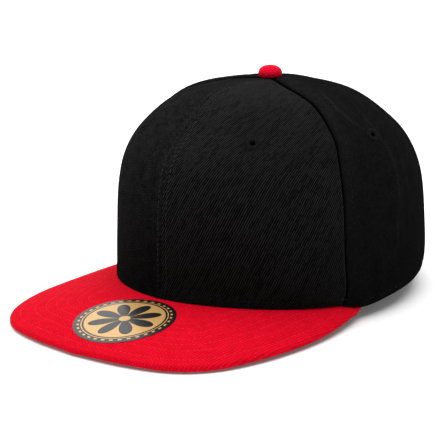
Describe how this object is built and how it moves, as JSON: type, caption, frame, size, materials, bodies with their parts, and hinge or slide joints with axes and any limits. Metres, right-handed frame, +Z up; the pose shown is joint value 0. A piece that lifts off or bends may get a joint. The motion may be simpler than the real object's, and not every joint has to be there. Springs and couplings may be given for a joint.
{
  "type": "snapback cap",
  "caption": "Six-panel snapback cap in black twill with a flat red peak, a red top button, a round foil sticker and a snapped plastic strap behind.",
  "frame": {"origin": "on the table, under the middle of the cap's length and width", "axes": "+Z up, the peak points to -Y, +X to the wearer's left"},
  "size_m": [0.1804, 0.277, 0.1357],
  "materials": {
    "black_twill": "matte twill",
    "black_thread": "satin thread",
    "red_twill": "matte twill",
    "dark_cloth": "matte cloth",
    "foil": "glossy foil",
    "black_plastic": "satin moulded"
  },
  "bodies": {
    "root": {"crown_panel_front_left": "black_twill", "eyelet_front_left": "black_thread", "crown_panel_side_left": "black_twill", "eyelet_side_left": "black_thread", "crown_panel_rear_left": "black_twill", "eyelet_rear_left": "black_thread", "crown_panel_front_right": "black_twill", "eyelet_front_right": "black_thread", "crown_panel_side_right": "black_twill", "eyelet_side_right": "black_thread", "crown_panel_rear_right": "black_twill", "eyelet_rear_right": "black_thread", "top_button": "red_twill", "peak": "red_twill", "peak_underside": "dark_cloth", "peak_sticker": "foil", "snap_strap": "black_plastic"}
  },
  "joints": []
}
